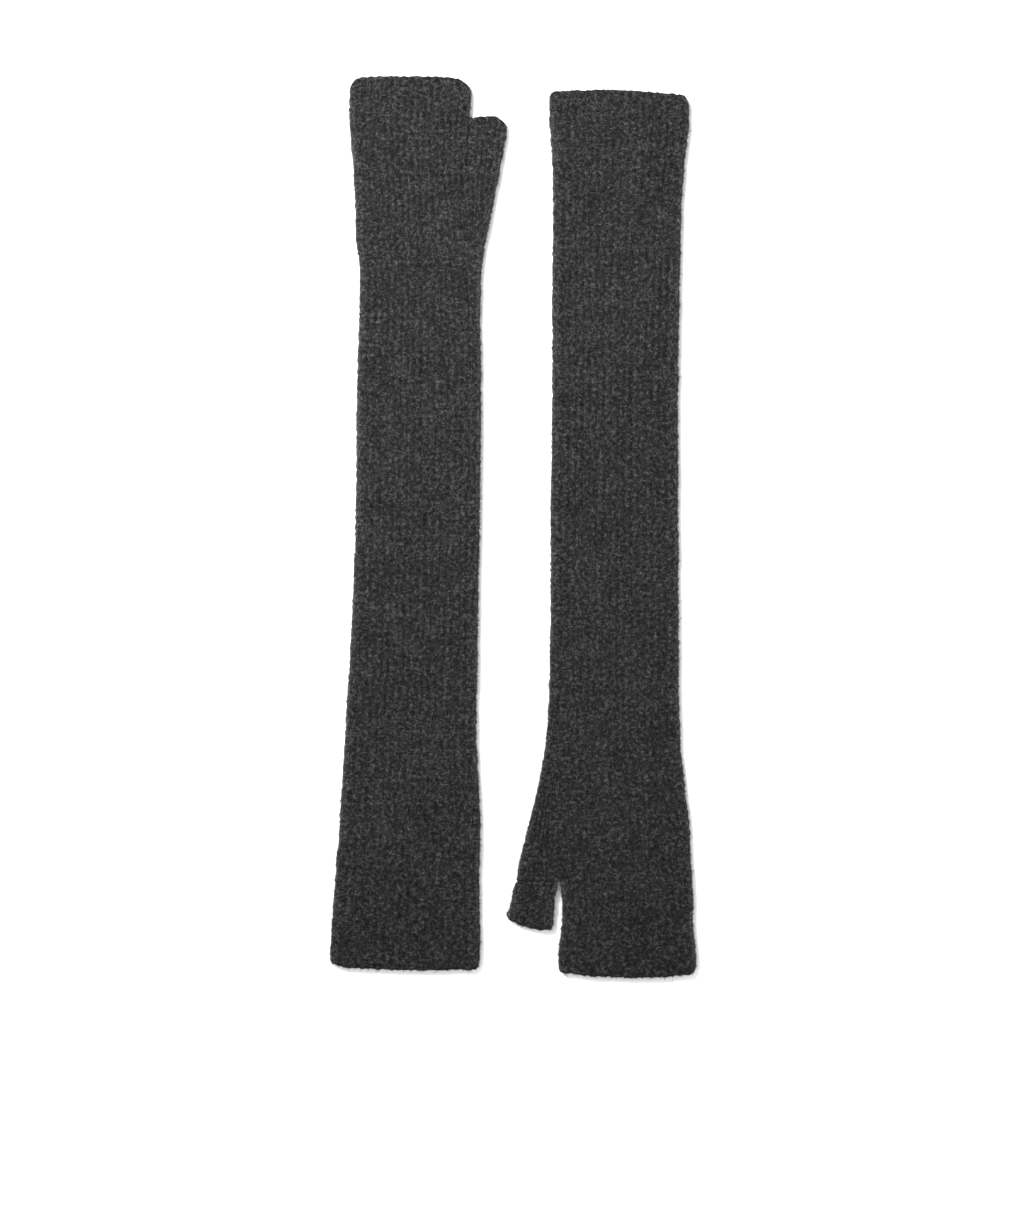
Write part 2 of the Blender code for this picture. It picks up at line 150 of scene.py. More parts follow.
RIGHT_GLOVE = Glove(
    name="right_glove",
    turned=True,
    arm=table(
        Section,
        (0.0, -40.4, 36.3), (16.0, -41.4, 36.4), (39.0, -39.2, 34.8), (61.0, -37.6, 34.3),
        (106.0, -36.4, 34.7), (173.0, -35.3, 34.8), (240.0, -35.4, 35.7), (307.0, -35.8, 35.9),
        (347.0, -35.9, 37.0), (369.0, -37.0, 39.1), (391.5, -39.2, 43.2), (414.0, -42.0, 48.7),
        (430.5, -42.6, 53.0), (442.5, -43.2, 54.9),
    ),
    hand=table(
        Section,
        (442.5, -43.2, 31.1), (447.0, -43.4, 30.0), (453.0, -43.7, 29.5), (470.0, -43.8, 29.7),
        (481.0, -45.1, 31.2), (496.5, -45.7, 31.0),
    ),
    thumb=table(
        ThumbSection,
        (0.0, 0.3, 54.9), (2.5, 1.5, 56.0), (4.5, 2.5, 56.5), (10.0, 4.2, 57.7),
        (15.0, 4.5, 59.0), (18.0, 4.8, 60.4), (27.5, 5.3, 60.6),
    ),
    elbow_end=End(0.67, 3.0, 1.0, 3.5, 4.5, 5.0, 3.0),
    hand_end=End(0.42, 2.4, 3.0, 3.5, 3.4, 3.5, 2.6),
    thumb_end=End(0.15, 0.2, 7.0, 2.2, 2.2, 2.2, 1.6),
    seam=1.5,
    tucked=False,
    hollows=table(
        Hollow,
        (438, 24, 9, 10, 0.5, 0), (440.6, 28.5, 0.9, 4.5, 1.8, 0), (425, -22, 14, 10, 0.5, 0),
        (423, -22, 4, 9, 0.5, 30), (388, 28, 20, 10, 0.4, 0), (260, -8, 45, 20, 0.3, 0),
        (110, 10, 40, 18, 0.3, 0),
    ),
)

# %% A smooth edge through a table's rows
def smooth_edge(rows, column, at):
    """Where an edge runs at a distance along, on a smooth curve through the table's rows."""
    along = np.array([row.along for row in rows]) * MM
    place = np.array([getattr(row, column) for row in rows]) * MM
    slope = np.gradient(place, along)
    at = min(max(at, along[0]), along[-1])
    i = min(int(np.searchsorted(along, at, side="right")) - 1, len(rows) - 2)
    length = along[i + 1] - along[i]
    t = (at - along[i]) / length
    ease = t * t * (3 - 2 * t)
    bend = t * (1 - t) * ((1 - t) * slope[i] - t * slope[i + 1])
    return float(place[i] + (place[i + 1] - place[i]) * ease + bend * length)


WRIST = 300 * MM
low, high = (smooth_edge(RIGHT_GLOVE.arm, side, WRIST) for side in ("outer", "thumb"))
print(f"The right glove is {(high - low) / MM:.1f} mm wide at the wrist")

# %% [markdown]
# ## The cloth's relief
#
# A rib is a column of knit stitches that stands up between columns of purl stitches. Each
# stitch is a V of two yarn legs, 2.1 mm high here. Loops of real yarn for some nine thousand
# stitches on each glove would cost millions of faces, and the nap hides them anyway, so the
# shell is one surface whose points rise and fall: a rounded rib, the slanting legs on it, and
# small uneven clumps. Where brushing has felted the wool, in patches of a centimetre or so,
# the ribs nearly drown in it.
#
# Clumps and patches come from a lattice of seeded random heights with smooth slopes between
# them, which gives the same cloth on every run.

# %% Sizes of the cloth
WALL = 2.0 * MM  # one layer, from its plain inside to the valleys of its ribs
SLOT = 0.5 * MM  # the air between the two layers
LAYERS = 2 * WALL + SLOT
FOLD_RADIUS = LAYERS / 2
PANEL_RIBS = 17
GUSSET_RIBS = 6
THUMB_RIBS = 5
GUSSET_LENGTH = 80 * MM
RIB_HEIGHT = 0.75 * MM
FULL_RIB_PITCH = 3.0 * MM  # a rib narrower than this is lower too
COURSE = 2.1 * MM  # the height of one row of stitches
STEPS_PER_COURSE = 3

# %% Relief of ribs, stitches and clumps
RIB_ROUNDNESS = 0.8  # under 1, the crest is broad and the valley narrow, as on plump wool
LEG_HEIGHT = 0.12 * MM
LEG_SLANT = 0.5  # courses that a leg falls between the rib's valley and its crest
FELTED = 0.45  # how much lower the ribs are where the wool has felted most
FELTED_ACROSS, FELTED_ALONG = 11 * MM, 9 * MM
FELTED_ROW = 50  # where the patches begin on the lattice
CLUMP_HEIGHT = 0.10 * MM
CLUMP_ACROSS, CLUMP_ALONG = 1.6 * MM, 2.6 * MM
LATTICE_SEED, LATTICE_SIDE = 7, 512
LATTICE = np.random.default_rng(LATTICE_SEED).uniform(-1, 1, (LATTICE_SIDE, LATTICE_SIDE))


def soft_noise(u, v):
    """Smooth random heights from -1 to 1, with a hill or a dip for each unit of u and v."""
    i, j = np.floor(u).astype(int), np.floor(v).astype(int)
    s, t = u - i, v - j
    s, t = s * s * (3 - 2 * s), t * t * (3 - 2 * t)
    here, beyond = i % LATTICE_SIDE, (i + 1) % LATTICE_SIDE
    near, far = (
        LATTICE[here, k % LATTICE_SIDE] * (1 - s) + LATTICE[beyond, k % LATTICE_SIDE] * s
        for k in (j, j + 1)
    )
    return near * (1 - t) + far * t


def relief(phase, pitch, across, along):
    """How far the cloth stands above its valleys. phase counts ribs, 0 to 1 across each."""
    patches = soft_noise(across / FELTED_ACROSS + FELTED_ROW, along / FELTED_ALONG + 0 * phase)
    full = min(1, pitch / FULL_RIB_PITCH) * (1 - FELTED * np.clip(0.5 + patches, 0, 1))
    rib = np.abs(np.sin(math.pi * phase)) ** RIB_ROUNDNESS
    beside = np.abs(2 * (phase % 1) - 1)  # 1 in the valleys and 0 on the crest line
    legs = np.sin(2 * math.pi * phase) ** 2
    legs = legs * np.cos(2 * math.pi * (along / COURSE + LEG_SLANT * beside))
    clumps = soft_noise(across / CLUMP_ACROSS, along / CLUMP_ALONG)
    return full * (RIB_HEIGHT * rib + LEG_HEIGHT * legs) + CLUMP_HEIGHT * clumps


one_rib = np.linspace(0, 1, 61)
sample = relief(one_rib, FULL_RIB_PITCH, one_rib * FULL_RIB_PITCH, 0.1)
print(f"Across one rib the surface rises by {np.ptp(sample) / MM:.2f} mm")

# %% [markdown]
# ## One flattened tube
#
# Arm, hand and thumb are all flattened tubes, so one class serves them. It knows its two
# edges, bends the sections near an open end to that end's curved line, rounds the rim there,
# and sinks the soft hollows that the cloth has where it doesn't lie quite flat. Edges of real
# knit also wander a little, by a fraction of a millimetre every few courses, and the stitches
# at an edge or an end stand out of it as small tufts.

# %% The tube
END_REACH = 20 * MM
RIM_DROP, RIM_LENGTH = 1.5 * MM, 1.8 * MM  # how the cloth rolls off at an open end
RIM_STEPS = (0, 0.06, 0.22, 0.5, 1.0)
EDGE_WANDER = 0.16 * MM
WANDER_LENGTH = 8 * MM
EDGE_ROWS = (0.3, 9.3)  # where the two edges begin on the lattice
TUFT_HEIGHT, TUFT_LENGTH = 0.6 * MM, 1.2 * MM  # at the folds
END_TUFT_HEIGHT = 0.42 * MM
END_ROW = 100  # keeps the ends' tufts apart on the lattice
WAVE_HEIGHT = 0.25 * MM  # the top lies this unevenly
WAVE_ACROSS, WAVE_ALONG = 22 * MM, 38 * MM


def end_line(end, x, low, high):
    """How far an end's line at x has fallen from its peak."""
    share = (x - low) / (high - low)
    fall = np.where(
        share < end.peak,
        end.low_fall * (1 - share / end.peak) ** 2,
        end.high_fall * ((share - end.peak) / (1 - end.peak)) ** 2,
    )
    for distance, across, along in (
        (x - low, end.low_across, end.low_along), (high - x, end.high_across, end.high_along)
    ):
        inset = 1 - np.clip(distance / (across * MM), 0, 1)
        fall = fall + along * (1 - np.sqrt(1 - inset**2))
    return fall * MM + END_TUFT_HEIGHT * soft_noise(x / TUFT_LENGTH, 0 * x + end.peak * END_ROW)


class Tube:
    """A flattened tube: its edges, its ends, and how any point of it is placed."""

    def __init__(self, low_edge, high_edge, start, stop, start_end, stop_end, hollows, wander):
        self.low_edge, self.high_edge = low_edge, high_edge
        self.start, self.stop = start, stop
        self.start_end, self.stop_end = start_end, stop_end
        self.hollows = hollows
        self.wander = wander

    def stations(self, spacing):
        """Where sections stand, with closer ones where an open end's rim rolls off."""
        rim = np.array(RIM_STEPS) * RIM_LENGTH
        first = self.start + rim if self.start_end else np.array([self.start])
        last = self.stop - rim[::-1] if self.stop_end else np.array([self.stop])
        count = round((last[0] - first[-1]) / spacing)
        between = np.linspace(first[-1], last[0], count + 1)[1:-1]
        return np.concatenate([first, between, last])

    def pull(self, along):
        """The end that bends a section here, how strongly, and towards which side."""
        from_start = 1 - (along - self.start) / END_REACH
        from_stop = 1 - (self.stop - along) / END_REACH
        if self.start_end and from_start > 0:
            return self.start_end, from_start, 1
        if self.stop_end and from_stop > 0:
            return self.stop_end, from_stop, -1
        return None, 0, 0

    def edges(self, along):
        """Both edges at a section, read where its bent ends come to lie."""
        end, strength, side = self.pull(along)
        low_drop = high_drop = 0
        if end:
            low_drop = (end.low_fall + end.low_along) * MM * strength * side
            high_drop = (end.high_fall + end.high_along) * MM * strength * side
        rows = np.array(EDGE_ROWS) + self.wander
        swing = soft_noise(np.array([along / WANDER_LENGTH] * 2), rows)
        low = self.low_edge(along + low_drop) + EDGE_WANDER * swing[0]
        return low, self.high_edge(along + high_drop) + EDGE_WANDER * swing[1]

    def rim(self, along):
        """How far the rim draws the cloth's surface in here."""
        near = 1.0
        if self.start_end:
            near = min(near, (along - self.start) / RIM_LENGTH)
        if self.stop_end:
            near = min(near, (self.stop - along) / RIM_LENGTH)
        return RIM_DROP * (1 - math.sqrt(1 - (1 - max(near, 0)) ** 2))

    def bent(self, along, x):
        """Where a section's points lie along the tube, bent to the end's line."""
        end, strength, side = self.pull(along)
        low, high = self.edges(along)
        return along + (end_line(end, x, low, high) * strength * side if end else 0 * x)

    def place(self, along, x, z):
        """Points of a section. Hollows and waves sink its upper half."""
        y = self.bent(along, x)
        sink = -WAVE_HEIGHT * soft_noise(x / WAVE_ACROSS + self.wander, y / WAVE_ALONG)
        for hollow in self.hollows:
            turn = math.radians(hollow.turn)
            off_along, off_across = y / MM - hollow.along, x / MM - hollow.across
            lengthwise = off_along * math.cos(turn) + off_across * math.sin(turn)
            sideways = off_across * math.cos(turn) - off_along * math.sin(turn)
            sink = sink + hollow.depth * MM * np.exp(
                -((lengthwise / hollow.length) ** 2) - (sideways / hollow.breadth) ** 2
            )
        return np.column_stack([x, y, z - sink * np.clip(z / FOLD_RADIUS - 1, 0, 1)])

    def level(self, along, x, z):
        """Points of a level face."""
        return np.column_stack([x, self.bent(along, x), np.full(len(x), z)])


# %% [markdown]
# ## Rows of points across a tube
#
# A section runs down the low fold, across the ribbed top, down the high fold and back along
# the underside. The two ribs on each fold fade towards its foot, so that the glove rests on a
# level sole. The sole keeps narrow grooves between its pressed ribs, in fewer points, because
# it is hardly seen. The ribs on the top sway a little, as in soft cloth that was smoothed out
# by hand, except where the faces beside them join on.

# %% Rows across
RIB_STEPS = 6  # points across one rib
FOLD_STEPS = 4  # points across each of a fold's two ribs
SOLE_PHASES = (0.2, 0.8, 1.0)
GROOVE = 0.3 * MM
SLOT_ANGLE = math.asin(SLOT / 2 / FOLD_RADIUS)
HALF_FOLD = FOLD_STEPS + 1
FOLD_TURN = np.concatenate([
    np.linspace(math.pi / 2, SLOT_ANGLE, HALF_FOLD),
    np.linspace(-SLOT_ANGLE, -math.pi / 2, HALF_FOLD),
])
FOLD_PHASE = np.concatenate([np.linspace(0, 1, HALF_FOLD), np.linspace(1, 2, HALF_FOLD)])
PRESSED_POWER = 5  # 0 leaves a fold round
PRESSED_FADE = 5 * MM
TUFT_ROW = 40.5  # keeps the two folds' tufts apart on the lattice
RIB_SWAY = 0.55 * MM  # how far a rib strays sideways
SWAY_ACROSS, SWAY_ALONG = 7 * MM, 10 * MM


def fold_row(tube, along, side, drawn_in=0, pressed=0):
    """A fold's points from the top of the tube to its foot. Where pressed is 1, it is square."""
    centre = tube.edges(along)[side > 0] - side * FOLD_RADIUS
    around = centre + side * FOLD_RADIUS * (math.pi / 2 - FOLD_TURN)
    upper = (1 + np.sin(FOLD_TURN)) / 2
    height = (relief(FOLD_PHASE, FULL_RIB_PITCH, around, along) - drawn_in) * upper
    tuft = soft_noise(np.array([side * TUFT_ROW + tube.wander]), np.array([along / TUFT_LENGTH]))
    height = height + TUFT_HEIGHT * tuft * np.cos(FOLD_TURN) ** 2
    power = 2 + PRESSED_POWER * pressed
    sideways, upright = np.abs(np.cos(FOLD_TURN)), np.abs(np.sin(FOLD_TURN))
    square = (sideways**power + upright**power) ** (-1 / power)
    radius = FOLD_RADIUS * square + height - tube.rim(along)
    x = centre + side * radius * np.cos(FOLD_TURN)
    return tube.place(along, x, FOLD_RADIUS + radius * np.sin(FOLD_TURN))


def panel_row(tube, along, start, stop, ribs, drawn_in=0):
    """The ribbed top between two lines, both of them valleys."""
    phase = np.linspace(0, ribs, ribs * RIB_STEPS + 1)
    x = start + (stop - start) * phase / ribs
    pitch = (stop - start) / ribs
    height = relief(phase, pitch, x, along) - drawn_in
    free = np.clip(np.minimum(phase, ribs - phase), 0, 1) * min(1, pitch / FULL_RIB_PITCH)
    sway = soft_noise(x / SWAY_ACROSS + tube.wander, along / SWAY_ALONG + 0 * x)
    x = x + RIB_SWAY * free * sway
    return tube.place(along, x, LAYERS + height - tube.rim(along))


def sole_row(tube, along, start, stop, ribs):
    """The underside between two lines: crests that rest on the surface, and thin grooves."""
    phase = np.array([0.0] + [rib + share for rib in range(ribs) for share in SOLE_PHASES])
    groove = GROOVE * min(1, (stop - start) / ribs / FULL_RIB_PITCH) * (phase % 1 == 0)
    groove[0] = groove[-1] = 0
    row = tube.level(along, start + (stop - start) * phase / ribs, tube.rim(along))
    row[:, 2] += groove
    return row


print(f"A section has {PANEL_RIBS * RIB_STEPS + 4 * FOLD_STEPS + 3} points over its top")

# %% [markdown]
# ## Faces
#
# Neighbouring rows become strips of quads, which is how a loft between unlike sections is
# made. Strips that share a line are welded afterwards. Level faces, such as the inside of the
# cloth, are one outline each, which is cut into triangles at the end.

# %% Strips, fills and welding
WELD = 0.001 * MM  # points as close as this are one


def start_mesh():
    """An empty mesh whose faces can be marked as outside."""
    mesh = bmesh.new()
    mesh.faces.layers.int.new("outside")
    return mesh


def lay_strips(mesh, rows, outside=1, bare_from=None, bare_to=None):
    """Faces between neighbouring rows of points. outside marks the side that carries the nap.

    bare_from and bare_to are a slice of strips that carry none, as beside a seam.
    """
    mark = mesh.faces.layers.int["outside"]
    rows = [[mesh.verts.new(point) for point in row] for row in rows]
    marks = [outside] * (len(rows) - 1)
    if bare_from is not None or bare_to is not None:
        bare = slice(bare_from, bare_to)
        marks[bare] = [0] * len(marks[bare])
    for near, far, marked in zip(rows, rows[1:], marks):
        for i in range(len(near) - 1):
            mesh.faces.new((near[i], near[i + 1], far[i + 1], far[i]))[mark] = marked


def fill(mesh, outline):
    """One level face inside an outline."""
    mesh.faces.new([mesh.verts.new(point) for point in outline])


def close_rim(mesh, pairs):
    """The end face of a wall, from pairs of an outer point and the inner point next to it."""
    for (outer, inner), (next_outer, next_inner) in zip(pairs, pairs[1:] + pairs[:1]):
        fill(mesh, (outer, next_outer, next_inner, inner))


def lay_sole(mesh, rows, picks, low_feet, high_feet):
    """The sole between two lines of feet, which have many points for each row of the sole.

    picks says which feet each row starts and ends at. A line that isn't feet is None.
    """
    inner = slice(1 if low_feet else 0, -1 if high_feet else None)
    lay_strips(mesh, [row[inner] for row in rows], outside=0)
    for i, (near, far) in enumerate(zip(rows, rows[1:])):
        for feet, edge, beside in ((low_feet, 0, 1), (high_feet, -1, -2)):
            if feet:
                line = feet[picks[i] + 1 : picks[i + 1]]
                fill(mesh, [near[edge], *line, far[edge], far[beside], near[beside]])


# %% [markdown]
# ## How near each point lies to an edge
#
# Seen from above, the outermost millimetre or two of each glove looks lighter, because loose
# fibres stand free of the fold there and light comes through them. Each point of a shell keeps
# how near it lies to a fold, and shell and fibres take a lighter tone from that, which is
# painted light for the light through those fibres. The open ends don't have it, nor does the
# place where a tucked thumb hides the hand's edge.

# %% Nearness to a fold, and the finished mesh
EDGE_FADE = 1.6 * MM
EDGE_STEPS = 300  # places along a tube where its edges are read
SHARP_ANGLE = math.radians(75)


def read(items, name, width):
    """A property of many faces or vertices, as an array."""
    values = np.zeros(len(items) * width, np.float32)
    items.foreach_get(name, values)
    return values.reshape(-1, width).astype(float) if width > 1 else values


def edge_nearness(tube, points, hidden_side=None, hidden_to=0.0):
    """1 at a tube's folds, and less inside. The hidden side has no edge up to a place."""
    x, y = points[:, 0], points[:, 1]
    along = np.linspace(tube.start, tube.stop, EDGE_STEPS)
    low, high = np.array([tube.edges(at) for at in along]).T
    gaps = [x - np.interp(y, along, low), np.interp(y, along, high) - x]
    if hidden_side is not None:
        gaps[hidden_side] = gaps[hidden_side] + (y < hidden_to)
    gap = np.maximum(0, np.minimum(*gaps))
    return np.exp(-gap / EDGE_FADE) * (y >= tube.start - WELD) * (y <= tube.stop + WELD)


def finished_mesh(mesh, name, place, nearness):
    """The welded mesh in its place on the surface, all its faces pointing out."""
    bmesh.ops.remove_doubles(mesh, verts=mesh.verts, dist=WELD)
    bmesh.ops.dissolve_degenerate(mesh, edges=mesh.edges, dist=WELD)
    bmesh.ops.recalc_face_normals(mesh, faces=mesh.faces)
    many_sided = [face for face in mesh.faces if len(face.verts) > 4]
    bmesh.ops.triangulate(mesh, faces=many_sided, ngon_method="EAR_CLIP")
    open_edges = sum(len(edge.link_faces) != 2 for edge in mesh.edges)
    data = bpy.data.meshes.new(name)
    mesh.to_mesh(data)
    mesh.free()
    # How near each point lies to a fold, which the painted light at the folds reads.
    edge = data.attributes.new("edge", "FLOAT", "POINT")
    edge.data.foreach_set("value", nearness(read(data.vertices, "co", 3)).astype(np.float32))
    data.transform(place)
    data.shade_smooth()
    data.set_sharp_from_angle(angle=SHARP_ANGLE)
    triangles = sum(len(face.vertices) - 2 for face in data.polygons)
    print(f"{name}: {triangles} triangles, {open_edges} open edges")
    return data


# %% [markdown]
# ## The open ends and the slot
#
# Laid flat, a tube's inside is a slot half a millimetre high. At an open end, each point round
# the outside is joined to the nearest point of the slot's mouth, which gives the cloth its
# rolled rim. The slot itself is two level faces and two narrow sides.

# %% Slots and rims
SLOT_SPACING = 25 * MM
SOLE_SKIP = 12  # a row of the sole stands at every twelfth section


def mouth(tube, along, top, sole):
    """The slot's points at an end: one for each point of the top, and one for each of the sole."""
    low, high = tube.edges(along)
    above = tube.level(along, np.clip(top[:, 0], low + WALL, high - WALL), WALL + SLOT)
    below = tube.level(along, np.clip(sole[:, 0], low + WALL, high - WALL), WALL)
    return list(above), list(below)


def slot_side(tube, offset, pick):
    """The slot's two corners along one side of a tube."""
    rows = []
    for along in tube.stations(SLOT_SPACING):
        x = np.array([tube.edges(along)[pick] + offset])
        rows.append([tube.level(along, x, WALL)[0], tube.level(along, x, WALL + SLOT)[0]])
    return rows


def rim_pairs(low, panel, high, sole, slot, low_corner, high_corner):
    """Each point round an open end, with the point of the slot's mouth that it joins."""
    above, below = slot
    pairs = [(sole[0], below[0])]
    pairs += [(point, low_corner[0]) for point in low[1:HALF_FOLD]]
    pairs += [(point, low_corner[1]) for point in low[HALF_FOLD:-1]]
    pairs += list(zip(panel, above))
    pairs += [(point, high_corner[1]) for point in high[1:HALF_FOLD]]
    pairs += [(point, high_corner[0]) for point in high[HALF_FOLD:-1]]
    return pairs + list(zip(sole[:0:-1], below[:0:-1]))


def sole_picks(stations, kept=()):
    """Which sections the sole has a row at: every one in a rim, and some of the others."""
    rims = set(range(len(RIM_STEPS))) | set(range(len(stations) - len(RIM_STEPS), len(stations)))
    return sorted(rims | set(range(0, len(stations), SOLE_SKIP)) | set(kept))


print(f"The slot is {SLOT / MM:.1f} mm high between walls of {WALL / MM:.1f} mm")

# %% [markdown]
# ## The thumb
#
# The thumb is the simplest tube, so it shows the order best: sections, strips over them, the
# sole, the slot and the two rims. On the real glove it is knitted onto the hand, so its first
# course is drawn in a little where it meets the glove, which leaves the fine line of the seam.

# %% The thumb's shell
SEAM_GAP = 0.02 * MM
SEAM_LENGTH = 1.1 * MM
BARE_STRIPS = 3  # strips next to the seam where no fibres start
NOTCH_STRIPS = 7  # and strips of the hand's fold in the notch beside a free thumb
FINE = COURSE / STEPS_PER_COURSE


def pressed_at(glove, along):
    """How far hand and thumb press each other square here: 0 or 1, and between at the tip."""
    tip = (glove.hand[0].along + glove.thumb[-1].along) * MM
    return glove.tucked * min(1, max(0, (tip - along) / PRESSED_FADE + 0.5))


def seam_depth(glove, distance):
    """How far the cloth is drawn in at a distance from the seam between glove and thumb."""
    near = max(0, 1 - abs(distance) / SEAM_LENGTH)
    return glove.seam * MM * near * near


def thumb_shell(glove, place, wander):
    """The thumb tube, open at both ends, knitted on at the crotch."""
    crotch = glove.hand[0].along * MM
    tip = crotch + glove.thumb[-1].along * MM

    def low_edge(along):
        clear = smooth_edge(glove.thumb, "clear", along - crotch)
        return smooth_edge(glove.hand, "thumb", along) + clear

    def high_edge(along):
        return smooth_edge(glove.thumb, "outer", along - crotch)

    tube = Tube(
        low_edge, high_edge, crotch + SEAM_GAP, tip, None, glove.thumb_end, glove.hollows, wander
    )
    stations = tube.stations(FINE)
    lows, panels, highs, soles = [], [], [], []
    for along in stations:
        low, high = tube.edges(along)
        start, stop = low + FOLD_RADIUS, high - FOLD_RADIUS
        drawn_in = seam_depth(glove, along - crotch)
        lows.append(fold_row(tube, along, -1, drawn_in, pressed_at(glove, along))[::-1])
        panels.append(panel_row(tube, along, start, stop, THUMB_RIBS, drawn_in))
        highs.append(fold_row(tube, along, 1, drawn_in))
        soles.append(sole_row(tube, along, start, stop, THUMB_RIBS))

    mesh = start_mesh()
    around = [np.vstack([low, panel[1:-1], high]) for low, panel, high in zip(lows, panels, highs)]
    lay_strips(mesh, around, bare_to=BARE_STRIPS)
    picks = sole_picks(stations)
    low_feet, high_feet = [row[0] for row in lows], [row[-1] for row in highs]
    lay_sole(mesh, [soles[i] for i in picks], picks, low_feet, high_feet)
    low_slot, high_slot = slot_side(tube, WALL, 0), slot_side(tube, -WALL, 1)
    lay_strips(mesh, low_slot, outside=0)
    lay_strips(mesh, high_slot, outside=0)
    slots = [mouth(tube, stations[i], panels[i], soles[i]) for i in (0, -1)]
    for level, line in ((1, 0), (0, 1)):
        low_line = [row[level] for row in low_slot]
        high_line = [row[level] for row in high_slot]
        fill(mesh, low_line + slots[1][line] + high_line[::-1] + slots[0][line][::-1])
    for i, slot in zip((0, -1), slots):
        close_rim(mesh, rim_pairs(
            lows[i], panels[i], highs[i], soles[i], slot, low_slot[i], high_slot[i]
        ))
    hidden = (0, tip) if glove.tucked else ()
    return finished_mesh(
        mesh, glove.name + "_thumb_knit", place, lambda points: edge_nearness(tube, points, *hidden)
    )


# %% [markdown]
# ## Arm and hand
#
# The arm and the hand are knitted as one. Seventeen ribs run from the elbow to the knuckles.
# At the wrist a gusset opens beside them from nothing, six ribs in a fan, and at the crotch
# those stitches leave for the thumb while the hand goes on with a fold of its own.

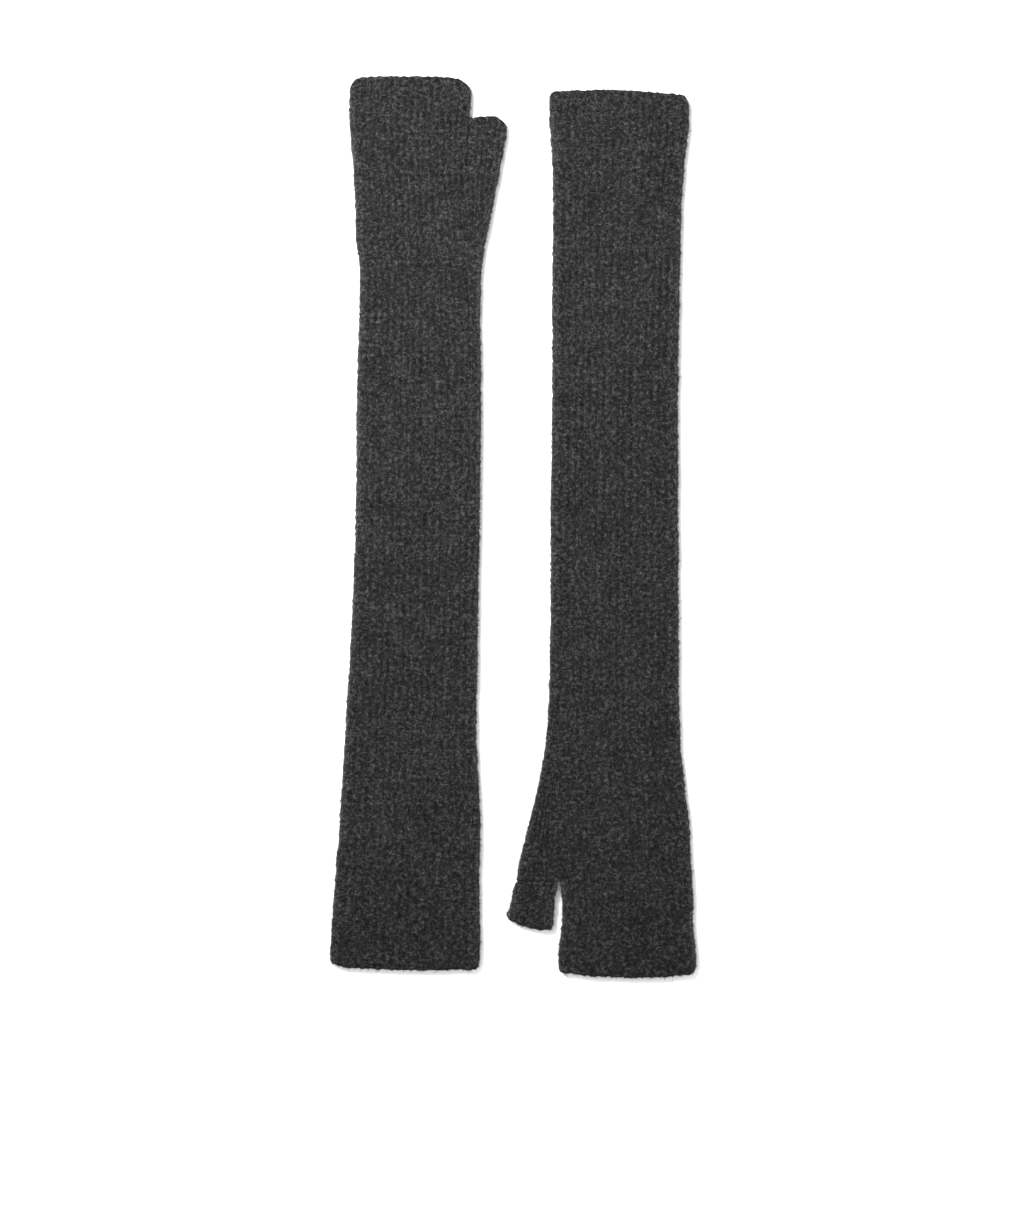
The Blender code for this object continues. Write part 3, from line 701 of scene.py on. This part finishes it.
# %% The shell of arm and hand
def glove_shell(glove, place, wander):
    """Arm and hand in one: a trunk that ends half open at the crotch, and the hand on it."""
    crotch, tip = glove.hand[0].along * MM, glove.hand[-1].along * MM
    arm = Tube(
        lambda along: smooth_edge(glove.arm, "outer", along),
        lambda along: smooth_edge(glove.arm, "thumb", along),
        0.0, crotch, glove.elbow_end, None, glove.hollows, wander,
    )
    hand = Tube(
        lambda along: smooth_edge(glove.hand, "outer", along),
        lambda along: smooth_edge(glove.hand, "thumb", along),
        crotch, tip, None, glove.hand_end, glove.hollows, wander,
    )
    arm_stations, hand_stations = arm.stations(FINE), hand.stations(FINE)
    wrist = int(np.argmin(abs(arm_stations - (crotch - GUSSET_LENGTH))))
    wrist_edge, hand_edge = arm.edges(arm_stations[wrist])[1], hand.edges(crotch)[1]
    from_hand = np.minimum(np.linspace(0, GUSSET_RIBS, GUSSET_RIBS * RIB_STEPS + 1), 1)

    shared, gussets, arm_folds, hand_folds, soles, gusset_soles = [], [], [], [], [], []
    for i, along in enumerate(arm_stations):
        low, high = arm.edges(along)
        opened = max(0, (i - wrist) / (len(arm_stations) - 1 - wrist))
        drawn_in = seam_depth(glove, along - crotch)
        split = wrist_edge * (1 - opened) + hand_edge * opened if opened else high
        split, stop = split - FOLD_RADIUS, high - FOLD_RADIUS
        panel = panel_row(arm, along, low + FOLD_RADIUS, split, PANEL_RIBS)
        shared.append(np.vstack([fold_row(arm, along, -1)[::-1], panel[1:]]))
        arm_folds.append(fold_row(arm, along, 1, drawn_in))
        soles.append(sole_row(arm, along, low + FOLD_RADIUS, split, PANEL_RIBS))
        if i >= wrist:
            gussets.append(panel_row(arm, along, split, stop, GUSSET_RIBS, drawn_in * from_hand))
            gusset_soles.append(sole_row(arm, along, split, stop, GUSSET_RIBS))
    for along in hand_stations:
        low, high = hand.edges(along)
        panel = panel_row(hand, along, low + FOLD_RADIUS, high - FOLD_RADIUS, PANEL_RIBS)
        hand_folds.append(fold_row(hand, along, 1, 0, pressed_at(glove, along)))
        if along > crotch:
            shared.append(np.vstack([fold_row(hand, along, -1)[::-1], panel[1:]]))
            soles.append(sole_row(hand, along, low + FOLD_RADIUS, high - FOLD_RADIUS, PANEL_RIBS))

    mesh = start_mesh()
    lay_strips(mesh, shared)
    lay_strips(mesh, hand_folds, bare_to=0 if glove.tucked else NOTCH_STRIPS)
    for rows in (gussets, arm_folds):
        lay_strips(mesh, rows, bare_from=-BARE_STRIPS)

    last_arm = len(arm_stations) - 1
    picks = sole_picks(shared, kept=(wrist, last_arm))
    low_feet = [row[0] for row in shared]
    arm_feet, hand_feet = [row[-1] for row in arm_folds], [row[-1] for row in hand_folds]
    before = [i for i in picks if i <= wrist]
    fan = [i for i in picks if wrist <= i <= last_arm]
    beyond = [i for i in picks if i >= last_arm]
    lay_sole(mesh, [soles[i] for i in before], before, low_feet, arm_feet)
    lay_sole(mesh, [soles[i] for i in fan], fan, low_feet, None)
    lay_sole(mesh, [gusset_soles[i - wrist] for i in fan], fan, None, arm_feet)
    lay_sole(mesh, [soles[i] for i in beyond], beyond, low_feet, [None] * last_arm + hand_feet)

    fold = list(hand_folds[0])
    low_slot = slot_side(arm, WALL, 0) + slot_side(hand, WALL, 0)[1:]
    arm_slot = slot_side(arm, -WALL, 1)
    hand_slot = [[fold[HALF_FOLD], fold[HALF_FOLD - 1]]] + slot_side(hand, -WALL, 1)
    for side in (low_slot, hand_slot, arm_slot):
        lay_strips(mesh, side, outside=0)
    elbow_panel, knuckle_panel = shared[0][len(fold) - 1 :], shared[-1][len(fold) - 1 :]
    elbow = mouth(arm, arm_stations[0], elbow_panel, soles[0])
    knuckles = mouth(hand, hand_stations[-1], knuckle_panel, soles[-1])
    for level, line in ((1, 0), (0, 1)):
        low_line, hand_line, arm_line = (
            [row[level] for row in side] for side in (low_slot, hand_slot, arm_slot)
        )
        outline = low_line + knuckles[line] + hand_line[::-1] + arm_line[::-1]
        fill(mesh, outline + elbow[line][::-1])

    thumb_hole = list(gussets[-1]) + list(arm_folds[-1][1:]) + list(gusset_soles[-1][-2:0:-1])
    thumb_hole += fold[: HALF_FOLD - 1 : -1] + arm_slot[-1] + fold[HALF_FOLD - 1 : 0 : -1]
    fill(mesh, thumb_hole)
    low_fold = [row[: len(fold)] for row in (shared[0], shared[-1])]
    close_rim(mesh, rim_pairs(
        low_fold[0], elbow_panel, arm_folds[0], soles[0], elbow, low_slot[0], arm_slot[0]
    ))
    close_rim(mesh, rim_pairs(
        low_fold[1], knuckle_panel, hand_folds[-1], soles[-1], knuckles, low_slot[-1], hand_slot[-1]
    ))
    thumb_tip = crotch + glove.thumb[-1].along * MM
    hidden = (1, thumb_tip) if glove.tucked else ()
    return finished_mesh(mesh, glove.name + "_knit", place, lambda points: np.maximum(
        edge_nearness(arm, points), edge_nearness(hand, points, *hidden)
    ))


# %% [markdown]
# ## Lay both gloves in their places
#
# The solids say where each glove lies. Its elbow edge is at one end of its solid's box, and
# the outermost point of its outer edge at one side, so the two together give its origin. The
# right glove is turned half round, hand down the picture.

# %% Places
GLOVE_ROW = 40.0  # keeps the two gloves' unevenness apart on the lattice


def place_of(glove):
    """The matrix from a glove's own frame to the surface, read from its solid's box."""
    low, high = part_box(glove.name + "_tube")
    outermost = min(row.outer for row in glove.arm + glove.hand) * MM
    if glove.turned:
        half_turn = Matrix.Rotation(math.pi, 4, "Z")
        return Matrix.Translation((high.x + outermost, high.y, 0)) @ half_turn
    return Matrix.Translation((low.x - outermost, low.y, 0))


def add_piece(data):
    """A mesh as an object of its own that rides on the part."""
    piece = add_object(data.name, data)
    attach(piece, "root")
    return piece


shells = {}
for number, glove in enumerate((LEFT_GLOVE, RIGHT_GLOVE)):
    place = place_of(glove)
    for part, make in (("tube", glove_shell), ("thumb", thumb_shell)):
        shell = add_piece(make(glove, place, wander=GLOVE_ROW * number))
        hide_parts(f"{glove.name}_{part}")
        shells[glove.name, part] = shell

# %% [markdown]
# ## The nap
#
# Brushing pulls fibre ends out of the yarn. They lie over the ribs in all directions, mostly
# along them, and stand out a little at every edge, which is why the outline looks soft. A real
# fibre is 0.02 to 0.03 mm thick, too fine for this picture, so each ribbon here stands for
# a few of them together: a flat lock that lies on the cloth, or a thinner one that stands up.
# Each one starts at a random face of the shell, rises, and bends back. Those of one kind on a
# shell are one mesh, made with arrays.

# %% Fibres
Kind = namedtuple("Kind", "density width length lift curl sink_back taper edge_share tones")
LOCKS = Kind(
    density=0.30,  # for each square millimetre
    width=(0.14, 0.36),  # millimetres
    length=(0.9, 2.1),
    lift=(3, 20),  # degrees above the cloth where it leaves the yarn
    curl=0.9,
    sink_back=0.9,  # how far it bends back to the cloth, as a share of its rise
    taper=(0.5, 1.0, 1.0, 0.8, 0.3),
    edge_share=1.5,
    tones=(-0.5, 0.8),
)
FIBRES = Kind(
    density=0.68,
    width=(0.07, 0.15),
    length=(0.8, 2.6),
    lift=(10, 60),
    curl=0.5,
    sink_back=0.4,
    taper=(1.0, 1.0, 0.8, 0.3),
    edge_share=10.0,  # more of them where the cloth turns down, as the ends stand free there
    tones=(0.25, 0.72),
)
NAP_SEED = 100
RIB_AXIS = (0.0, 1.0, 1e-3)  # a little off Y, so that cloth facing Y has a direction too
HEADING_SPREAD = 1.0  # radians to either side of the ribs' direction, as a standard deviation
ROOT_SCATTER = 0.2 * MM
EDGE_STEEPNESS = 0.85  # cloth whose normal has less of +Z in it than this is at an edge
FIBRE_EDGE_PAINTED_LIGHT = 0.4  # painted light at a fold: how much the tone of fibres rises there, for light coming through them
LOWEST = 0.05 * MM  # no fibre goes below the surface that the gloves lie on


def unit(vectors):
    """Vectors of length one."""
    return vectors / np.linalg.norm(vectors, axis=1, keepdims=True)


def nap_mesh(data, name, kind, seed):
    """Fibres of one kind, rooted all over a shell's outside, as one mesh of thin bent ribbons."""
    rng = np.random.default_rng(seed)
    centre, normal = read(data.polygons, "center", 3), read(data.polygons, "normal", 3)
    outside = np.zeros(len(centre), np.int32)
    data.attributes["outside"].data.foreach_get("value", outside)
    area = read(data.polygons, "area", 1) * outside
    weight = area * np.where(normal[:, 2] < EDGE_STEEPNESS, kind.edge_share, 1.0)
    count = int(kind.density / MM**2 * area.sum())
    picked = rng.choice(len(area), count, p=weight / weight.sum())
    normal = normal[picked]
    corner = read(data.polygons, "loop_start", 1).astype(int)[picked]
    corner = read(data.loops, "vertex_index", 1).astype(int)[corner]
    edge = read(data.attributes["edge"].data, "value", 1)[corner]
    root = centre[picked] + np.cross(normal, rng.normal(0, ROOT_SCATTER, (count, 3)))

    ribs = unit(np.array(RIB_AXIS) - normal * normal[:, 1:2])
    heading = rng.normal(0, HEADING_SPREAD, (count, 1)) + math.pi * rng.integers(0, 2, (count, 1))
    ahead = ribs * np.cos(heading) + np.cross(normal, ribs) * np.sin(heading)
    lift = np.radians(rng.uniform(*kind.lift, (count, 1)))
    start = ahead * np.cos(lift) + normal * np.sin(lift)
    bend = np.cross(normal, ahead) * rng.normal(0, kind.curl, (count, 1))
    bend -= normal * kind.sink_back * np.sin(lift)
    length = rng.uniform(*kind.length, (count, 1)) * MM
    width = rng.uniform(*kind.width, (count, 1)) * MM
    facing = unit(normal + np.array([0, 0, 1.0]) * rng.uniform(0, 1, (count, 1)))

    rows = []
    for s, taper in zip(np.linspace(0, 1, len(kind.taper)), kind.taper):
        middle = root + length * (start * s + bend * s * s)
        side = unit(np.cross(facing, start + bend * 2 * s)) * width * taper / 2
        rows += [middle - side, middle + side]
    vertices = np.stack(rows, axis=1).reshape(-1, 3)
    vertices[:, 2] = np.maximum(vertices[:, 2], LOWEST)

    first = np.arange(count)[:, None] * len(rows)
    steps = range(0, len(rows) - 2, 2)
    quads = np.vstack([first + np.array([k, k + 1, k + 3, k + 2]) for k in steps])
    made = bpy.data.meshes.new(name)
    made.from_pydata(vertices.tolist(), [], quads.tolist())
    tone = made.attributes.new("tone", "FLOAT", "POINT")
    # Fibres near a fold get a lighter tone: painted light for the light that comes through them
    # there.
    tones = rng.uniform(*kind.tones, count) + FIBRE_EDGE_PAINTED_LIGHT * edge
    tones = np.repeat(np.clip(tones, 0, 1), len(rows))
    tone.data.foreach_set("value", tones.astype(np.float32))
    made.shade_smooth()
    print(f"{name}: {count} pieces, {2 * len(quads)} triangles")
    return made


naps = {}
for number, (key, shell) in enumerate(shells.items()):
    naps[key] = []
    for step, (word, kind) in enumerate((("locks", LOCKS), ("fibres", FIBRES))):
        seed = NAP_SEED + 10 * number + step
        naps[key].append(add_piece(nap_mesh(shell.data, "_".join((*key, word)), kind, seed)))

# %% [markdown]
# ## Charcoal melange wool
#
# Melange yarn is spun from fibres dyed before spinning, here black and a little undyed grey,
# so that the cloth is mottled at every scale: single fibres, the yarn, and soft clouds where
# one colour gathered in the carding. Wool scatters light in all directions, so it is rough and
# not metallic, and keratin has an index of refraction of 1.55. Its nap catches light that
# grazes the cloth, which the shader's sheen stands for.
#
# The pattern is three layers of noise in the object's own coordinates, each with its size in
# millimetres and its share of the whole. A real fibre is far too thin to show here, so the
# finest layer is as coarse as a lock of them.

# %% Nodes
def linear(hex_colour):
    """A colour such as "#3a3a3b", turned from sRGB to the linear numbers that shaders use."""
    shares = [int(hex_colour[i : i + 2], 16) / 255 for i in (1, 3, 5)]
    return (*(s / 12.92 if s <= 0.04045 else ((s + 0.055) / 1.055) ** 2.4 for s in shares), 1.0)


def add_node(tree, kind, settings=None, links=None):
    """Adds a node. Settings are its properties or its inputs' values, and links its sources."""
    node = tree.nodes.new("ShaderNode" + kind)
    for name, value in (settings or {}).items():
        if isinstance(name, int) or name in node.inputs:
            node.inputs[name].default_value = value
        else:
            setattr(node, name, value)
    for name, source in (links or {}).items():
        tree.links.new(source, node.inputs[name])
    return node


def add_ramp(tree, source, *stops):
    """The colour that a number turns into, from stops of a place and a colour each."""
    ramp = add_node(tree, "ValToRGB", links={"Fac": source})
    elements = ramp.color_ramp.elements
    elements.remove(elements[1])
    for place, colour in stops:
        element = elements.new(place) if place else elements[0]
        element.color = linear(colour)
    return ramp.outputs["Color"]


def new_material(name):
    """An empty material."""
    material = bpy.data.materials.new(name)
    material.use_nodes = True
    material.node_tree.nodes.clear()
    return material, material.node_tree


def add_shader(tree, settings, links):
    """The material's shader, led to its output."""
    shader = add_node(tree, "BsdfPrincipled", settings, links)
    add_node(tree, "OutputMaterial", links={"Surface": shader.outputs[0]})


# %% The knitted wool
BLACK_FIBRE = "#030303"
MIXED_YARN = "#191919"
GREY_FIBRE = "#3c3c3c"
NAP_SHEEN = "#bcbcbc"
KERATIN_IOR = 1.55

Layer = namedtuple("Layer", "across along share detail")
MELANGE = (
    Layer(across=0.95, along=0.85, share=0.46, detail=0.5),  # locks of single fibres
    Layer(across=2.3, along=2.1, share=0.44, detail=1.0),  # the yarn
    Layer(across=8.0, along=8.0, share=0.10, detail=1.0),  # clouds from the carding
)
MELANGE_SPREAD = 0.205  # how far from its middle the summed noise reaches
EDGE_PAINTED_LIGHT = 0.27  # painted light at the folds: how much further up the colours the shell's folds are, for light through the loose fibres
FUZZ_SIZE = 0.5  # millimetres, finer than the shell's faces
FUZZ_HEIGHT = 0.06 * MM


def wool_material():
    """Brushed rib knit in a charcoal melange."""
    material, tree = new_material("charcoal_melange_wool_knit")
    place = add_node(tree, "TexCoord").outputs["Object"]
    total = None
    for layer in MELANGE:
        scale = (1 / (layer.across * MM), 1 / (layer.along * MM), 1 / (layer.across * MM))
        stretched = add_node(tree, "Mapping", {"Scale": scale}, {"Vector": place})
        noise = add_node(
            tree, "TexNoise", {"Scale": 1.0, "Detail": layer.detail},
            {"Vector": stretched.outputs[0]},
        )
        links = {0: noise.outputs["Fac"]}
        if total:
            links[2] = total
        total = add_node(
            tree, "Math", {"operation": "MULTIPLY_ADD", 1: layer.share, 2: 0.0}, links
        ).outputs[0]
    spread = add_node(
        tree, "MapRange", {"From Min": 0.5 - MELANGE_SPREAD, "From Max": 0.5 + MELANGE_SPREAD},
        {"Value": total},
    )
    # The shell is lighter near its folds: painted light for the light through the loose fibres
    # there.
    edge = add_node(tree, "Attribute", {"attribute_name": "edge"})
    lifted = add_node(
        tree, "Math", {"operation": "MULTIPLY_ADD", 1: EDGE_PAINTED_LIGHT},
        {0: edge.outputs["Fac"], 2: spread.outputs[0]},
    )
    colour = add_ramp(
        tree, lifted.outputs[0], (0.0, BLACK_FIBRE), (0.5, MIXED_YARN), (1.0, GREY_FIBRE)
    )
    fuzz_scale = 1 / (FUZZ_SIZE * MM)
    fuzz = add_node(tree, "TexNoise", {"Scale": fuzz_scale, "Detail": 3.0}, {"Vector": place})
    bump = add_node(
        tree, "Bump", {"Strength": 1.0, "Distance": FUZZ_HEIGHT}, {"Height": fuzz.outputs["Fac"]}
    )
    add_shader(
        tree,
        {"Roughness": 0.95, "Metallic": 0.0, "IOR": KERATIN_IOR, "Specular IOR Level": 0.05,
         "Sheen Weight": 0.08, "Sheen Roughness": 0.5, "Sheen Tint": linear(NAP_SHEEN)},
        {"Base Color": colour, "Normal": bump.outputs["Normal"]},
    )
    return material


# %% The loose fibres
FIBRE_TONES = ((0.0, "#050505"), (0.5, "#0f0f0f"), (0.85, "#4b4b4b"), (1.0, "#626262"))


def fibre_material():
    """Single wool fibres: most of them dyed, a few left undyed."""
    material, tree = new_material("loose_wool_fibre")
    tone = add_node(tree, "Attribute", {"attribute_name": "tone"})
    add_shader(
        tree, {"Roughness": 0.8, "IOR": KERATIN_IOR, "Specular IOR Level": 0.1},
        {"Base Color": add_ramp(tree, tone.outputs["Fac"], *FIBRE_TONES)},
    )
    return material


knit, fibre = wool_material(), fibre_material()
for shell in shells.values():
    shell.data.materials.append(knit)
for nap in sum(naps.values(), []):
    nap.data.materials.append(fibre)
print("Materials:", knit.name, "and", fibre.name)

# %% [markdown]
# ## How large each tube is, laid out flat
#
# A knitted tube has a flat size all round: its girth by its length. The girth of a flattened
# tube is twice its width less what the two folds save, and the area is the girth summed along
# the glove.

# %% Flat sizes
SHEET_STEPS = 60


def girth(low, high):
    """All round a flattened tube of this width."""
    return 2 * (high - low - 2 * FOLD_RADIUS) + 2 * math.pi * FOLD_RADIUS


def tube_sheet(rows):
    """The greatest girth, the length and the area of a tube that a table describes."""
    along = np.linspace(rows[0].along, rows[-1].along, SHEET_STEPS) * MM
    around = [
        girth(smooth_edge(rows, "outer", at), smooth_edge(rows, "thumb", at)) for at in along
    ]
    length = along[-1] - along[0]
    return max(around), length, float(np.mean(around)) * length


for glove in (LEFT_GLOVE, RIGHT_GLOVE):
    arm_girth, arm_length, arm_area = tube_sheet(glove.arm)
    hand_girth, hand_length, hand_area = tube_sheet(glove.hand)

# %% [markdown]
# ## Light and surface
#
# The picture has a pure white ground, faint shadows on the right of each glove and below it,
# and a slow fall of light from the top to the bottom. That is a white surface under even
# light from all round, plus one large soft lamp beyond the top left.

# %% Floor
FLOOR_DROP = 0.1 * MM
HALF_FLOOR = 3.0  # metres
MOTTLE = 60 * MM


def floor_material():
    """White card, matt and very faintly uneven."""
    material, tree = new_material("white_card")
    place = add_node(tree, "TexCoord").outputs["Object"]
    mottle = add_node(tree, "TexNoise", {"Scale": 1 / MOTTLE, "Detail": 2.0}, {"Vector": place})
    colour = add_ramp(tree, mottle.outputs["Fac"], (0.0, "#f8f8f8"), (1.0, "#fbfbfb"))
    add_shader(tree, {"Roughness": 1.0, "Specular IOR Level": 0.0}, {"Base Color": colour})
    return material


floor_data = bpy.data.meshes.new("floor")
corners = [
    (x * HALF_FLOOR, y * HALF_FLOOR, -FLOOR_DROP) for x, y in ((-1, -1), (1, -1), (1, 1), (-1, 1))
]
floor_data.from_pydata(corners, [], [(0, 1, 2, 3)])
floor_data.materials.append(floor_material())
floor = add_object("floor", floor_data)

# %% Lights
AROUND = 1.09  # the even light, where 1 shows a white card as white
LAMP_PLACE = (-0.80, 0.95, 0.95)
LAMP_AIM = (-0.20, 0.30, 0.0)
LAMP_SIZE = 0.9
LAMP_SPREAD = 36  # degrees, as through a grid, so that little of it reaches the bottom
LAMP_POWER = 7.5  # watts

world = bpy.data.worlds.new("even_light")
world.use_nodes = True
background = world.node_tree.nodes["Background"]
background.inputs["Color"].default_value = (1, 1, 1, 1)
background.inputs["Strength"].default_value = AROUND
bpy.context.scene.world = world

lamp = add_object("soft_lamp", bpy.data.lights.new("soft_lamp", "AREA"))
lamp.data.shape = "DISK"
lamp.data.size = LAMP_SIZE
lamp.data.spread = math.radians(LAMP_SPREAD)
lamp.visible_camera = False
lamp.data.energy = LAMP_POWER
lamp.location = LAMP_PLACE
lamp.rotation_euler = (Vector(LAMP_AIM) - Vector(LAMP_PLACE)).to_track_quat("-Z", "Y").to_euler()
bpy.context.scene.view_settings.view_transform = "Standard"
print("The lamp stands", [round(value, 2) for value in lamp.location])
